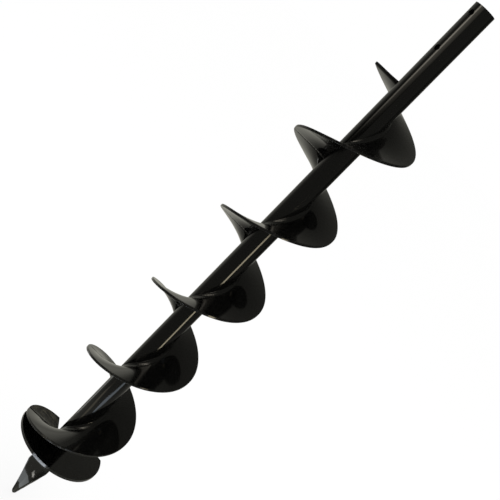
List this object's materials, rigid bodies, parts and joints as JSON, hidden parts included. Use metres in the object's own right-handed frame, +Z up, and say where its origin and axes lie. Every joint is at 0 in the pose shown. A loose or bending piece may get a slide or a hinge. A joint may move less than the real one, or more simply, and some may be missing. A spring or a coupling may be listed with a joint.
{
  "type": "soil auger",
  "caption": "Soil auger with a hollow cross-drilled drive tube, a right-hand welded helical flight, a cutting lip with a flat lower plate, and a twisted pilot point.",
  "frame": {"origin": "centre of the tube's open drive end", "axes": "+Z up along the tube, out of the drive end; the auger hangs below; +Y along the cross-bolt holes"},
  "size_m": [0.1524, 0.1524, 1.04],
  "materials": {
    "gloss_black": "gloss black enamel on steel",
    "painted_weld": "gloss black enamel over rippled weld beads"
  },
  "bodies": {
    "root": {"drive_tube": "gloss_black", "flight_section_1": "gloss_black", "flight_section_2": "gloss_black", "flight_section_3": "gloss_black", "flight_section_4": "gloss_black", "flight_section_5": "gloss_black", "cutting_lip": "gloss_black", "lower_plate": "gloss_black", "pilot_point": "gloss_black", "root_weld_1": "painted_weld", "root_weld_2": "painted_weld", "root_weld_3": "painted_weld", "root_weld_4": "painted_weld", "root_weld_5": "painted_weld", "seam_weld_1": "painted_weld", "seam_weld_2": "painted_weld", "seam_weld_3": "painted_weld", "seam_weld_4": "painted_weld", "seam_weld_5": "painted_weld", "lip_root_weld": "painted_weld", "plate_root_weld": "painted_weld", "pilot_weld": "painted_weld"}
  },
  "joints": []
}
